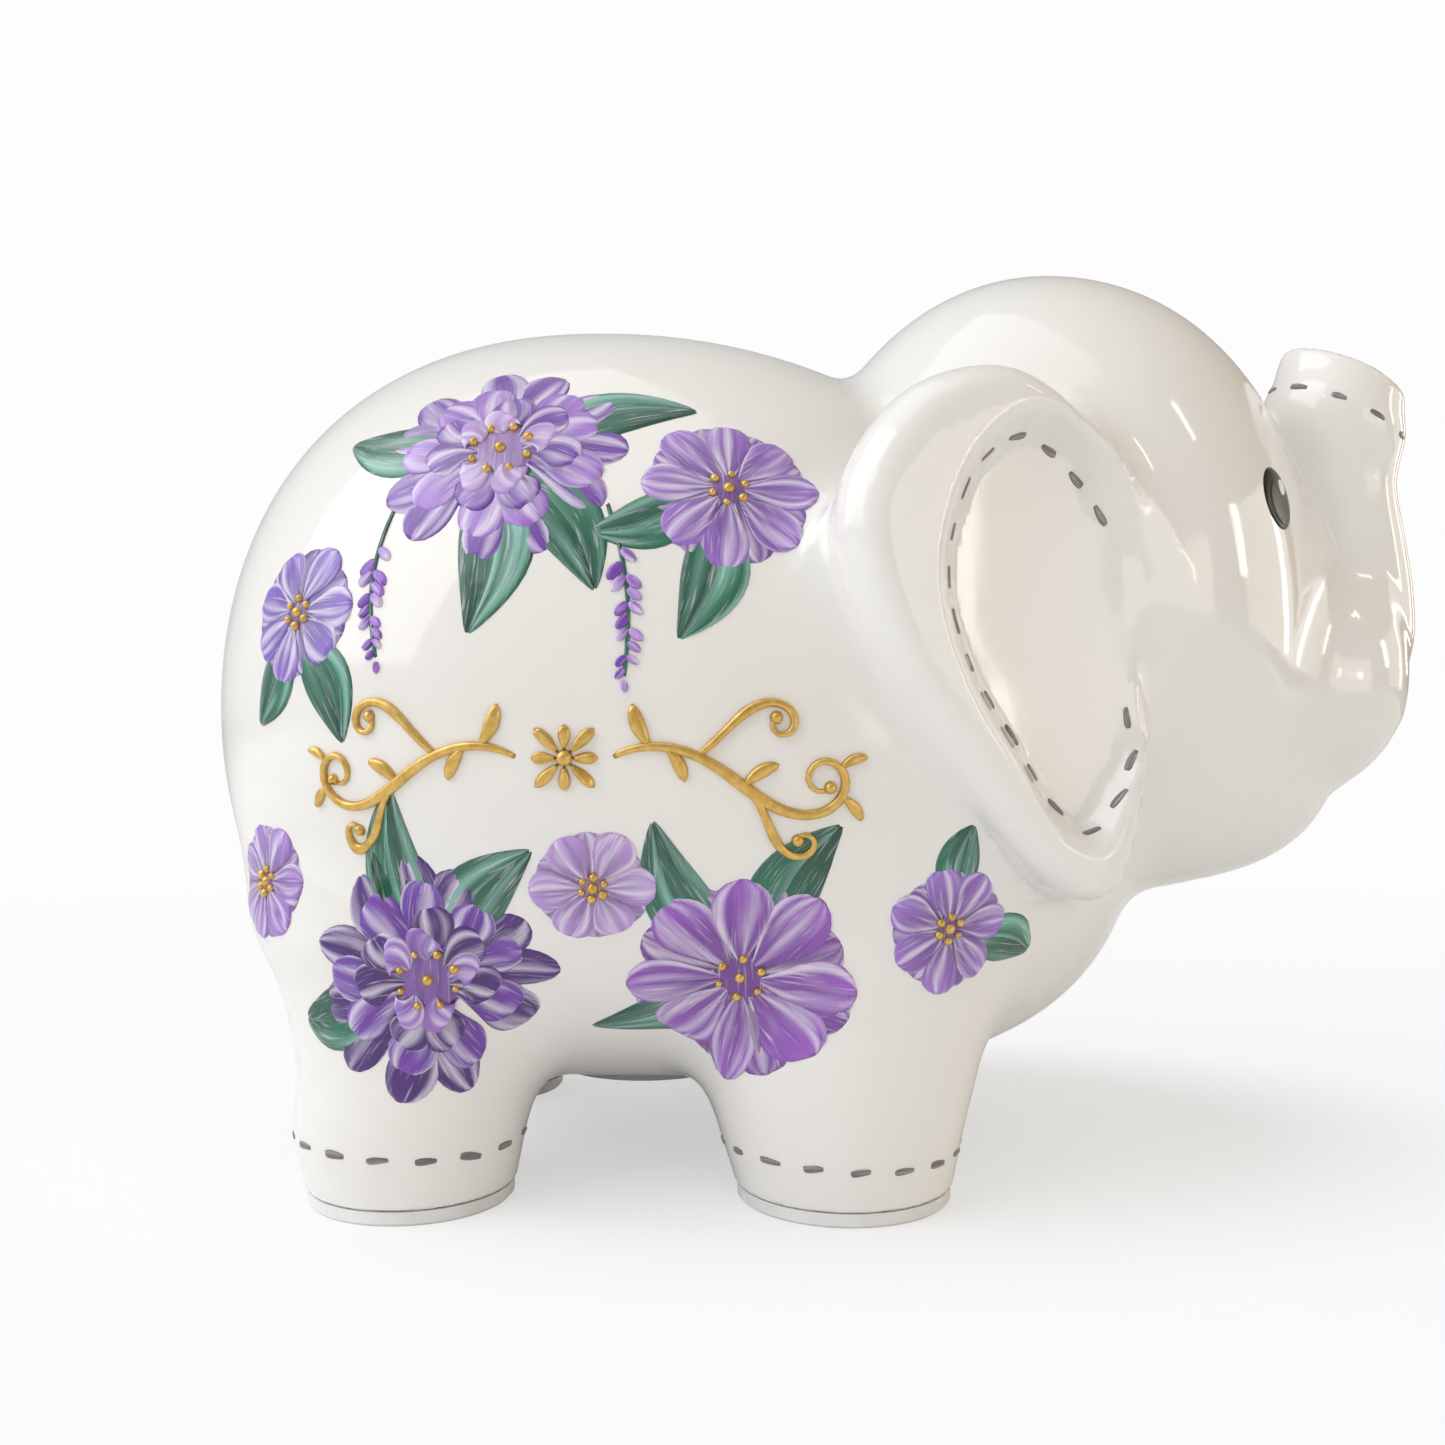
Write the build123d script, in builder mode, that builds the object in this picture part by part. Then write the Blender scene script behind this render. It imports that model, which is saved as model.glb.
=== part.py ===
from build123d import *
from math import cos, radians, sin
import os

os.makedirs("parts", exist_ok=True)

# Elephant coin bank: hollow ceramic sections luted together, foot pads and a rubber stopper.
# Millimetres. +X is forwards, +Y is the elephant's left, +Z is up. The origin is on the ground,
# under the middle of the bank's length.

# Driving dimensions

wall = 4.5  # ceramic wall of the hollow sections
form_power = 2.3  # fullness of torso and head along their length, where 2 is an ellipsoid

barrel_radius = 75.7  # torso at its widest
rump_length = 76.0  # torso behind its widest section
chest_length = 107.0  # torso in front of it
chest_drop = 19.0  # how far the torso's middle line sinks towards the chest
belly_height = 16.7  # flat land round the stopper hole, above the ground
land_depth = 3.6  # how much of the barrel's underside the land takes off

head_reach = 87.6  # from the torso's widest section to the head's
head_rise = 24.9  # head's middle above the torso's
head_half_height = 63.2
head_half_width = 57.0
face_length = 60.8  # head in front of its widest section
nape_length = 55.1  # head behind it
face_drop = 14.0  # how far the head's middle line sinks towards the face
nape_drop = 13.7
face_narrowing = 2.05  # how much faster the face narrows than it gets lower
neck_hole_radius = 24.0  # way from the torso's hollow into the head's

muzzle_radius = 25.0
muzzle_reach = 51.4  # muzzle's centre in front of the head's widest section
muzzle_drop = 19.2  # muzzle's centre below the head's middle
chin_radius = 20.0
chin_behind = 9.5  # chin's centre behind the muzzle's
chin_drop = 14.4  # chin's centre below the muzzle's
trunk_overhang = 2.8  # front of the trunk ahead of the muzzle's
trunk_lean = 26.0  # tilt of the tip's end face, in degrees
trunk_height = 63.2  # middle of the tip's end face above the muzzle's centre
tip_ahead = 15.6  # middle of the tip's end face ahead of the muzzle's centre
tip_radius = 12.0
nostril_radius = 8.0
nostril_depth = 4.0
nostril_taper = 20.0  # slope of its wall, in degrees

ear_thickness = 15.0
ear_tilt = 20.0  # how far the ear's back edge stands out, in degrees
ear_rim_round = 6.5
basin_depth = 7.0
ear_root_depth = 1.0  # middle of the ear's thickness inside the head's widest line, at its root
ear_root_ahead = 5.4  # ear's root ahead of the head's widest section
ear_root_drop = 8.4  # ear's root below the head's middle

leg_inset = 35.7  # leg's axis inside the torso's widest line
front_leg_ahead = 44.9  # front legs' axes ahead of the torso's widest section
rear_leg_behind = 33.5
front_leg_top = 36.8  # top of the front legs below the torso's middle line
rear_leg_top = 22.8
front_foot_radius = 19.6
rear_foot_radius = 18.7
front_ankle_swell = 2.7  # how much wider the leg is at its ankle than at its sole
rear_ankle_swell = 2.2
ankle_height = 13.0
foot_bevel = 0.8

pad_thickness = 2.5
pad_inset = 0.3  # pad's edge inside the sole's
pad_bevel = 0.5

tail_proud = 3.0  # tail outside the rump

slot_length = 38.0
slot_width = 5.0
slot_behind = 26.0  # slot behind the torso's widest section

hole_radius = 15.0
hole_ahead = 7.0  # stopper ahead of the torso's widest section
stopper_clearance = 0.05  # between the plug and its hole
flange_overhang = 4.0  # flange outside the hole's edge
flange_thickness = 1.7
flange_round = 0.6
plug_length = 9.5  # plug above the flange
plug_groove_places = (0.25, 0.6)  # shares of the plug's length
plug_groove_depth = 0.7
plug_groove_width = 1.5
plug_chamfer = 1.0
plug_wall = 4.45  # between the plug's side and its hollow
plug_hollow_depth = 6.0
grip_width = 4.0

# Places worked out from the driving dimensions

trunk_front = muzzle_radius + trunk_overhang
overall_length = tail_proud + rump_length + head_reach + muzzle_reach + trunk_front
barrel_x = -overall_length / 2 + tail_proud + rump_length
barrel_z = belly_height - land_depth + barrel_radius
head_x = barrel_x + head_reach
head_z = barrel_z + head_rise
muzzle_x = head_x + muzzle_reach
muzzle_z = head_z - muzzle_drop
leg_y = barrel_radius - leg_inset
stopper_x = barrel_x + hole_ahead
slot_x = barrel_x - slot_behind
plug_radius = hole_radius - stopper_clearance

# Sections along a form, as shares of its length: close together where the ends curve over
SHARES = (0.06, 0.2, 0.36, 0.52, 0.68, 0.8, 0.89, 0.95, 0.985, 0.9995)
DROP_POWER = 1.8  # how late the middle line of a form starts to sink


def fullness(share, power=form_power):
    """Half-width of a form at a share of its length, where the widest section is 1."""
    return (1 - share**power) ** (1 / power)


def egg(x, z, back, front, half_width, half_height, back_drop, front_drop, narrowing=1.0):
    """Closed egg-shaped form lying along X, with a middle line that sinks towards its ends.

    A narrowing above 1 makes the front end narrower than it is high.
    """
    with BuildPart() as form:
        for share in [-share for share in reversed(SHARES)] + list(SHARES):
            length, drop = (front, front_drop) if share > 0 else (back, back_drop)
            size = fullness(abs(share))
            breadth = size**narrowing if share > 0 else size
            middle = Vector(x + length * share, 0, z - drop * abs(share) ** DROP_POWER)
            with BuildSketch(Plane(origin=middle, x_dir=(0, 1, 0), z_dir=(1, 0, 0))):
                Ellipse(half_width * breadth, half_height * size)
        loft()
    return form.part


def torso_form(inset=0.0):
    """The barrel of the body, drawn in all over by inset."""
    radius = barrel_radius - inset
    return egg(
        barrel_x, barrel_z, rump_length - inset, chest_length - inset, radius, radius, 0, chest_drop
    )


def head_form(inset=0.0):
    """The head without trunk and ears, drawn in all over by inset."""
    return egg(
        head_x,
        head_z,
        nape_length - inset,
        face_length - inset,
        head_half_width - inset,
        head_half_height - inset,
        nape_drop,
        face_drop,
        face_narrowing,
    )


# Torso: hollow barrel with the belly land, the stopper hole, the coin slot and the neck hole

torso_outside = torso_form()

with BuildPart() as hollow:
    add(torso_form(wall))
    split(bisect_by=Plane.XY.offset(belly_height + wall), keep=Keep.TOP)
torso_inside = hollow.part

with BuildPart() as torso_shell:
    add(torso_outside)
    split(bisect_by=Plane.XY.offset(belly_height), keep=Keep.TOP)
    add(torso_inside, mode=Mode.SUBTRACT)
    with BuildSketch(Plane.XY.offset(belly_height)):
        with Locations((stopper_x, 0)):
            Circle(hole_radius)
    extrude(amount=2 * wall, mode=Mode.SUBTRACT)
    with BuildSketch(Plane.XY.offset(barrel_z)):
        with Locations((slot_x, 0)):
            SlotOverall(slot_length, slot_width, rotation=90)
    extrude(amount=barrel_radius, mode=Mode.SUBTRACT)
    with BuildSketch(Plane.YZ.offset(barrel_x + head_reach / 2)):
        with Locations((0, head_z - nape_drop)):
            Circle(neck_hole_radius)
    extrude(amount=chest_length, mode=Mode.SUBTRACT)
torso_shell.part.label = "torso_shell"
export_step(torso_shell.part, "parts/torso_shell.step")

# Head: hollow egg seated on the front of the torso

head_outside = head_form()
head_inside = head_form(wall)

with BuildPart() as head_shell:
    add(head_outside)
    add(torso_outside, mode=Mode.SUBTRACT)
    add(head_inside, mode=Mode.SUBTRACT)
head_shell.part.label = "head_shell"
export_step(head_shell.part, "parts/head_shell.step")

# Trunk: round muzzle over a chin, and a raised tube with a flared, dished tip

TRUNK_SECTIONS = (
    # share of the trunk's height above the muzzle's centre, behind the trunk's front, radius
    (-0.087, 4.6, 15.5),
    (0.137, 0.0, 13.2),
    (0.29, 0.5, 12.2),
    (0.46, 1.9, 11.3),
    (0.64, 3.6, 10.6),
    (0.87, 2.4, 13.8),
)

with BuildPart() as trunk:
    for share, behind, radius in TRUNK_SECTIONS:
        with BuildSketch(Plane.XY.offset(muzzle_z + trunk_height * share)):
            with Locations((muzzle_x + trunk_front - behind - radius, 0)):
                Circle(radius)
    tip_plane = Plane(
        origin=(muzzle_x + tip_ahead, 0, muzzle_z + trunk_height),
        z_dir=(sin(radians(trunk_lean)), 0, cos(radians(trunk_lean))),
    )
    with BuildSketch(tip_plane):
        Circle(tip_radius)
    loft()
    with BuildSketch(tip_plane):
        Circle(nostril_radius)
    extrude(amount=-nostril_depth, taper=nostril_taper, mode=Mode.SUBTRACT)
    with Locations((muzzle_x, 0, muzzle_z)):
        Sphere(muzzle_radius)
    with Locations((muzzle_x - chin_behind, 0, muzzle_z - chin_drop)):
        Sphere(chin_radius)
    add(head_outside, mode=Mode.SUBTRACT)
trunk.part.label = "trunk"
export_step(trunk.part, "parts/trunk.step")

# Ears: thick leaf-shaped plates, fully rounded at the rim, with a sunken basin

EAR_RIM = (
    # ahead of the ear's root, above it
    (-1.0, 0.0),
    (-4.0, 18.0),
    (-12.0, 32.0),
    (-27.0, 39.0),
    (-45.0, 32.5),
    (-55.5, 14.0),
    (-49.5, -8.0),
    (-35.0, -28.5),
    (-19.0, -45.5),
    (-6.0, -47.5),
    (0.0, -26.0),
)
EAR_BASIN = (
    (7.0, -3.0),
    (-2.0, 13.0),
    (-11.0, 23.5),
    (-22.0, 27.8),
    (-32.0, 21.5),
    (-38.5, 10.0),
    (-39.0, -1.0),
    (-34.0, -13.0),
    (-26.0, -25.0),
    (-18.5, -36.0),
    (-10.5, -38.2),
    (-4.0, -31.0),
    (3.0, -20.0),
)
# Hollow of the basin: depth under the rim's crest, and how far its edge is drawn in there
BASIN_PROFILE = ((-1.0, -4.0), (1.0, -1.5), (4.0, 1.5), (basin_depth - 0.6, 5.0), (basin_depth, 9.0))


def leaf(plane, points, inset):
    """Sketch of a closed smooth outline through points, drawn in towards its middle by inset."""
    corners = [Vector(*point) for point in points]
    middle = sum(corners, Vector()) / len(corners)
    with BuildSketch(plane) as outline:
        with BuildLine():
            Spline(*[p - (p - middle).normalized() * inset for p in corners], periodic=True)
        make_face()
    return outline.sketch


ear_plane = Plane(
    origin=(head_x + ear_root_ahead, ear_root_depth - head_half_width, head_z - ear_root_drop),
    x_dir=(cos(radians(ear_tilt)), sin(radians(ear_tilt)), 0),
    z_dir=(sin(radians(ear_tilt)), -cos(radians(ear_tilt)), 0),
)

rim_sections = [
    leaf(
        ear_plane.offset(ear_thickness / 2 * sin(radians(angle))),
        EAR_RIM,
        ear_rim_round * (1 - cos(radians(angle))),
    )
    for angle in range(-90, 91, 30)
]
basin_sections = [
    leaf(ear_plane.offset(ear_thickness / 2 - depth), EAR_BASIN, inset)
    for depth, inset in BASIN_PROFILE
]

with BuildPart() as ear_right:
    loft(sections=rim_sections)
    loft(sections=basin_sections, mode=Mode.SUBTRACT)
    add(head_outside, mode=Mode.SUBTRACT)
    add(torso_outside, mode=Mode.SUBTRACT)
ear_right.part.label = "ear_right"
export_step(ear_right.part, "parts/ear_right.step")

with BuildPart() as ear_left:
    add(mirror(ear_right.part, about=Plane.XZ, mode=Mode.PRIVATE))
ear_left.part.label = "ear_left"
export_step(ear_left.part, "parts/ear_left.step")

# Legs: round feet that widen into the belly and the haunches

FRONT_LEG_SECTIONS = (
    # height, ahead of the foot's axis, inside it, wider than the sole
    (pad_thickness, 0.0, 0.0, 0.0),
    (ankle_height, -0.6, 0.0, front_ankle_swell),
    (25.0, -1.0, 2.0, 6.4),
    (40.0, 0.0, 6.0, 9.4),
    (barrel_z - front_leg_top, 0.0, 9.0, 10.4),
)
REAR_LEG_SECTIONS = (
    (pad_thickness, 0.0, 0.0, 0.0),
    (ankle_height, 0.0, 0.0, rear_ankle_swell),
    (25.0, 1.8, 1.0, 3.8),
    (38.0, 2.3, 4.0, 7.8),
    (50.0, 0.3, 7.0, 11.3),
    (barrel_z - rear_leg_top, 2.5, 14.0, 12.0),
)


def leg(x, side, sole_radius, sections):
    """One leg, from its sole up to the underside of the torso."""
    with BuildPart() as form:
        for height, ahead, inside, wider in sections:
            with BuildSketch(Plane.XY.offset(height)):
                with Locations((x + ahead, side * (leg_y - inside))):
                    Circle(sole_radius + wider)
        loft()
        chamfer(form.faces().sort_by(Axis.Z)[0].edges(), foot_bevel)
        add(torso_outside, mode=Mode.SUBTRACT)
    return form.part


def foot_pad(x, side, sole_radius):
    """Round pad stuck under a sole."""
    with BuildPart() as pad:
        with BuildSketch():
            with Locations((x, side * leg_y)):
                Circle(sole_radius - pad_inset)
        extrude(amount=pad_thickness)
        chamfer(pad.edges().sort_by(Axis.Z)[0], pad_bevel)
    return pad.part


for end, foot_x, sole_radius, sections in (
    ("front", barrel_x + front_leg_ahead, front_foot_radius, FRONT_LEG_SECTIONS),
    ("rear", barrel_x - rear_leg_behind, rear_foot_radius, REAR_LEG_SECTIONS),
):
    for name, side in (("left", 1), ("right", -1)):
        with BuildPart() as one_leg:
            add(leg(foot_x, side, sole_radius, sections))
        one_leg.part.label = f"leg_{end}_{name}"
        export_step(one_leg.part, f"parts/leg_{end}_{name}.step")
        with BuildPart() as one_pad:
            add(foot_pad(foot_x, side, sole_radius))
        one_pad.part.label = f"foot_pad_{end}_{name}"
        export_step(one_pad.part, f"parts/foot_pad_{end}_{name}.step")

# Tail: slim rope with a tuft, lying down the rump

TAIL_SECTIONS = (
    # above the torso's middle line, outside the rump, radius
    (25.0, -0.5, 1.6),
    (21.0, 1.2, 2.8),
    (10.0, 2.4, 3.4),
    (0.0, tail_proud, 4.6),
    (-4.0, 2.6, 4.8),
    (-9.0, -0.6, 1.6),
)

with BuildPart() as tail:
    for above, proud, radius in TAIL_SECTIONS:
        rump = barrel_x - rump_length * fullness(abs(above) / barrel_radius)
        with BuildSketch(Plane.XY.offset(barrel_z + above)):
            with Locations((rump - proud + radius, 0)):
                Circle(radius)
    loft()
    add(torso_outside, mode=Mode.SUBTRACT)
tail.part.label = "tail"
export_step(tail.part, "parts/tail.step")

# Stopper: soft plug with a wide flange, sealing grooves and a grip across its hollow underside

with BuildPart() as stopper:
    with BuildSketch(Plane.XY.offset(belly_height)):
        with Locations((stopper_x, 0)):
            Circle(hole_radius + flange_overhang)
    extrude(amount=-flange_thickness)
    fillet(stopper.edges().group_by(Axis.Z)[0], flange_round)
    with BuildSketch(Plane.XY.offset(belly_height)):
        with Locations((stopper_x, 0)):
            Circle(plug_radius)
    extrude(amount=plug_length)
    chamfer(stopper.edges().group_by(Axis.Z)[-1], plug_chamfer)
    for share in plug_groove_places:
        with BuildSketch(Plane.XY.offset(belly_height + plug_length * share)):
            with Locations((stopper_x, 0)):
                Circle(hole_radius)
                Circle(plug_radius - plug_groove_depth, mode=Mode.SUBTRACT)
        extrude(amount=plug_groove_width, mode=Mode.SUBTRACT)
    with BuildSketch(Plane.XY.offset(belly_height - flange_thickness)):
        with Locations((stopper_x, 0)):
            Circle(plug_radius - plug_wall)
            Rectangle(grip_width, 2 * plug_radius, mode=Mode.SUBTRACT)
    extrude(amount=plug_hollow_depth, mode=Mode.SUBTRACT)
stopper.part.label = "stopper"
export_step(stopper.part, "parts/stopper.step")
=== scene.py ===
from math import cos, pi, radians, sin, tan, tau

import bmesh
import bpy
import numpy as np
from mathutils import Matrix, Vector


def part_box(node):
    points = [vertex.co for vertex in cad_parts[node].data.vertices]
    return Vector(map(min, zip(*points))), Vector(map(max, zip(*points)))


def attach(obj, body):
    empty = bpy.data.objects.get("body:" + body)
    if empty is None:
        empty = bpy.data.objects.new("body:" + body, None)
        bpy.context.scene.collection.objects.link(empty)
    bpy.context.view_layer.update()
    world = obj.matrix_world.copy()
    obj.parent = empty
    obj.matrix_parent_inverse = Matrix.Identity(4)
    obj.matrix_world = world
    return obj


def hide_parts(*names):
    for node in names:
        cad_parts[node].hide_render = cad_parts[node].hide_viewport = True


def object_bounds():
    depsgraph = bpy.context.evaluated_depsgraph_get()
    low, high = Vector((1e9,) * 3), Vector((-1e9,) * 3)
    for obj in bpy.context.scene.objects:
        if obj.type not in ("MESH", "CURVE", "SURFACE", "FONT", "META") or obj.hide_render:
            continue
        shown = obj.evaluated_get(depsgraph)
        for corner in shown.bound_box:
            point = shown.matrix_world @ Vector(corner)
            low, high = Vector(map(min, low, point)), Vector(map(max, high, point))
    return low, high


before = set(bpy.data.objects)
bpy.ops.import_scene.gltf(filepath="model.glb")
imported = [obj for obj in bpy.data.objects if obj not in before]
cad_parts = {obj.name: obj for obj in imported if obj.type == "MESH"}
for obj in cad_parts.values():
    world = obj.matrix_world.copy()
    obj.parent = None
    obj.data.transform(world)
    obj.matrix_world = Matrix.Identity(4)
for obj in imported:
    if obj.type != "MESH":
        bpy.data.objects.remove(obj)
cad_box = [list(corner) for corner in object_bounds()]

# Elephant coin bank. Metres; +X is forwards, +Y the elephant's left, +Z up.
# The fired ceramic is one glazed skin with soft joints, worked out from a field of distances.
# The painted decoration is laid on that skin stroke by stroke. Tables of shapes are in millimetres.

MM = 0.001
BODY = "bank"
CERAMIC_NODES = (
    "torso_shell", "head_shell", "trunk", "ear_left", "ear_right", "tail",
    "leg_front_left", "leg_front_right", "leg_rear_left", "leg_rear_right",
)

# -------------------------------- sizes of the ceramic forms

torso_low, torso_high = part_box("torso_shell")
head_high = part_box("head_shell")[1]
trunk_low, trunk_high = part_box("trunk")
tail_low, tail_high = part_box("tail")
stopper_low, stopper_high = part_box("stopper")

WALL = 4.5 * MM
FORM_POWER = 2.3  # fullness of torso and head along their length
DROP_POWER = 1.8  # how late the middle line of a form starts to sink

BARREL_RADIUS = torso_high.y
RUMP_LENGTH = 76.0 * MM
BARREL_X = torso_low.x + RUMP_LENGTH
BARREL_Z = torso_high.z - BARREL_RADIUS
CHEST_LENGTH = torso_high.x - BARREL_X
CHEST_DROP = 19.0 * MM
BELLY_HEIGHT = torso_low.z

HEAD_HALF_WIDTH = head_high.y
HEAD_HALF_HEIGHT = 63.2 * MM
HEAD_X = BARREL_X + 87.6 * MM
HEAD_Z = head_high.z - HEAD_HALF_HEIGHT
FACE_LENGTH = 60.8 * MM
NAPE_LENGTH = 55.1 * MM
FACE_DROP = 14.0 * MM
NAPE_DROP = 13.7 * MM
FACE_NARROWING = 2.05

MUZZLE_RADIUS = trunk_high.y
MUZZLE_X = HEAD_X + 51.4 * MM
MUZZLE_Z = HEAD_Z - 19.2 * MM
CHIN_RADIUS = 20.0 * MM
CHIN_X = MUZZLE_X - 9.5 * MM
CHIN_Z = MUZZLE_Z - 14.4 * MM
TRUNK_FRONT = MUZZLE_X + MUZZLE_RADIUS + 2.8 * MM
TRUNK_HEIGHT = 63.2 * MM
TIP = np.array((MUZZLE_X + 15.6 * MM, 0, MUZZLE_Z + TRUNK_HEIGHT))  # middle of the tip's end face
TIP_LEAN = radians(26.0)
TIP_FACING = np.array((sin(TIP_LEAN), 0, cos(TIP_LEAN)))
TIP_RADIUS = 12.0 * MM
NOSTRIL_RADIUS = 8.0 * MM
NOSTRIL_DEPTH = 4.0 * MM
NOSTRIL_TAPER = 0.35  # how fast the nostril narrows with depth
TRUNK_MARGIN = 20.0 * MM  # how far round the trunk its distance is worked out

EAR_THICKNESS = 15.0 * MM
EAR_TILT = radians(20.0)
EAR_ORIGIN = np.array((HEAD_X + 5.4 * MM, 1.0 * MM - HEAD_HALF_WIDTH, HEAD_Z - 8.4 * MM))
EAR_MARGIN = 16.0 * MM  # how far round an ear its distance is worked out
EAR_FILLET = 4  # least reach of an ear's fillet, in millimetres
EAR_FILLET_GAIN = 11  # how much wider it gets at the cheek, in millimetres
BASIN_DEPTH = 7.0 * MM
BASIN_SLOPE = 7.5 * MM  # width of the slope from the rim to the basin's floor
BASIN_LEVEL = 0.45  # how far down that slope the basin's line lies
BOWL_DEPTH = 1.8 * MM  # how much deeper the basin is at its middle
BOWL_MIDDLE, BOWL_HALF_SIZE = (-18, 0), (24, 36)  # in millimetres, in the ear's plane

STOPPER_X = (stopper_low.x + stopper_high.x) / 2
HOLE_RADIUS = 15.0 * MM
HOLE_HEIGHT = 3 * WALL  # well into the hollow
SLOT_X = BARREL_X - 26.0 * MM
SLOT_LENGTH = 38.0 * MM
SLOT_WIDTH = 5.0 * MM

# Reach of the soft joints between forms
NECK_JOINT = 7 * MM
LEG_JOINT = 9 * MM
TAIL_JOINT = 2 * MM
CHIN_JOINT = 2.5 * MM
HOLLOW_JOINT = 3 * MM
SLOT_JOINT = 1 * MM
HOLE_JOINT = 0.5 * MM

# Reach of the rounded edges
BELLY_EDGE = 3 * MM
SOLE_EDGE = 1.2 * MM
TIP_EDGE = 2.2 * MM
NOSTRIL_EDGE = 2.0 * MM
BASIN_EDGE = 2 * MM
TAIL_EDGE = 1.5 * MM
OPENING_EDGE = 1.4 * MM

# -------------------------------- field of distances


def unit(v):
    return v / np.linalg.norm(v, axis=-1, keepdims=True)


def smooth_min(a, b, reach):
    """The nearer of two forms, with a soft fillet where they meet."""
    share = np.clip(0.5 + 0.5 * (b - a) / reach, 0, 1)
    return b + (a - b) * share - reach * share * (1 - share)


def smooth_max(a, b, reach):
    """What two forms share, with a soft edge."""
    return -smooth_min(-a, -b, reach)


def smooth_curve(at, places, values):
    """Values between known places, on a smooth curve through them."""
    places, values = np.array(places, float), np.array(values, float)
    slopes = np.gradient(values, places)
    at = np.clip(at, places[0], places[-1])
    i = np.clip(np.searchsorted(places, at) - 1, 0, len(places) - 2)
    gap = places[i + 1] - places[i]
    t = (at - places[i]) / gap
    start, end = values[i], values[i + 1]
    bend = (2 * t**3 - 3 * t**2 + 1) * start + (3 * t**2 - 2 * t**3) * end
    return bend + gap * ((t**3 - 2 * t**2 + t) * slopes[i] + (t**3 - t**2) * slopes[i + 1])


def egg(p, x, z, back, front, half_width, half_height, back_drop, front_drop, narrowing=1.0):
    """Closed egg-shaped form lying along X, whose middle line sinks towards its ends. The limits
    on share and reach keep it finite past its ends and at its centre."""
    along = p[:, 0] - x
    ahead = along > 0
    share = np.abs(along) / np.where(ahead, front, back)
    drop = np.where(ahead, front_drop, back_drop) * np.minimum(share, 1.3) ** DROP_POWER
    size = (1 - np.minimum(share, 0.995) ** FORM_POWER) ** (1 / FORM_POWER)
    width = half_width * np.where(ahead, size ** (narrowing - 1), 1)
    side, up = p[:, 1], p[:, 2] - z + drop
    across = np.hypot(side / width, up / half_height)
    reach = (share**FORM_POWER + across**FORM_POWER) ** (1 / FORM_POWER)
    return np.sqrt(along**2 + side**2 + up**2) * (1 - 1 / np.maximum(reach, 0.05))


def near(form, p, low, high, margin=12 * MM):
    """Distance to a form, worked out only for points in its box grown by a margin."""
    result = np.full(len(p), margin)
    low, high = np.array(low) - margin, np.array(high) + margin
    inside = ((p > low) & (p < high)).all(1)
    if inside.any():
        result[inside] = form(p[inside])
    return result


def torso(p, inset=0.0):
    radius = BARREL_RADIUS - inset
    form = egg(p, BARREL_X, BARREL_Z, RUMP_LENGTH - inset, CHEST_LENGTH - inset,
               radius, radius, 0, CHEST_DROP)
    return smooth_max(form, BELLY_HEIGHT + inset - p[:, 2], BELLY_EDGE)


def head(p, inset=0.0):
    return egg(p, HEAD_X, HEAD_Z, NAPE_LENGTH - inset, FACE_LENGTH - inset,
               HEAD_HALF_WIDTH - inset, HEAD_HALF_HEIGHT - inset,
               NAPE_DROP, FACE_DROP, FACE_NARROWING)


def column(p, heights, xs, ys, radii, rounding, lean=0.0, lean_from=0.0):
    """Upright form with a round section at each height. A lean tilts the sections near its top."""
    z = p[:, 2]
    x = p[:, 0] - smooth_curve(z, heights, xs)
    if lean:
        ramp = np.clip((z - lean_from) / (heights[-1] - lean_from), 0, 1)
        z = z + x * tan(lean) * ramp
        x = x / (1 + (1 / cos(lean) - 1) * ramp)
    y = p[:, 1] - smooth_curve(z, heights, ys)
    side = np.hypot(x, y) - smooth_curve(z, heights, radii)
    ends = np.maximum(z - heights[-1], heights[0] - z)
    return smooth_max(side, ends, rounding)


# Height, ahead of the foot's axis, inside it, wider than the sole
FRONT_LEG = ((2.5, 0, 0, 0), (13, -0.6, 0, 2.7), (25, -1, 2, 6.4), (40, 0, 6, 9.4), (52, 0, 9, 10.4))
REAR_LEG = (
    (2.5, 0, 0, 0), (13, 0, 0, 2.2), (25, 1.8, 1, 3.8), (38, 2.3, 4, 7.8), (50, 0.3, 7, 11.3),
    (66, 2.5, 14, 12),
)
SOLE_INSET = 0.3 * MM  # how far the pad's edge lies inside the sole's


class Leg:
    """A pair of legs over their foot pads. Both sides are the same, so sideways places are folded."""

    def __init__(self, end, sections):
        self.low, self.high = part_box(f"leg_{end}_left")
        pad_low, pad_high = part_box(f"foot_pad_{end}_left")
        self.x, self.y = (pad_low.x + pad_high.x) / 2, (pad_low.y + pad_high.y) / 2
        self.sole_radius = (pad_high.x - pad_low.x) / 2 + SOLE_INSET
        self.heights, self.ahead, self.inside, self.wider = (
            np.array(values) * MM for values in zip(*sections)
        )

    def form(self, p):
        folded = np.c_[p[:, 0], np.abs(p[:, 1]), p[:, 2]]
        xs, ys = self.x + self.ahead, self.y - self.inside
        return column(folded, self.heights, xs, ys, self.sole_radius + self.wider, SOLE_EDGE)


LEGS = (Leg("front", FRONT_LEG), Leg("rear", REAR_LEG))


# Share of the trunk's height above the muzzle's centre, behind the trunk's front, radius
TRUNK = (
    (-0.087, 4.7, 15.5), (0.137, 0.32, 13.2), (0.29, 0.5, 12.2), (0.46, 1.9, 11.3), (0.64, 3.6, 10.6),
    (0.87, 2.4, 13.8),
)

# Soft valley between trunk and muzzle: ahead of the muzzle's centre, reach
VALLEY = ((4, 14), (17, 9), (25, 0.3))

# Soft crease between trunk and head: above the muzzle's centre, reach
CREASE = ((25, 12), (50, 5))


def ball(p, x, z, radius):
    return np.sqrt((p[:, 0] - x) ** 2 + p[:, 1] ** 2 + (p[:, 2] - z) ** 2) - radius


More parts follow.
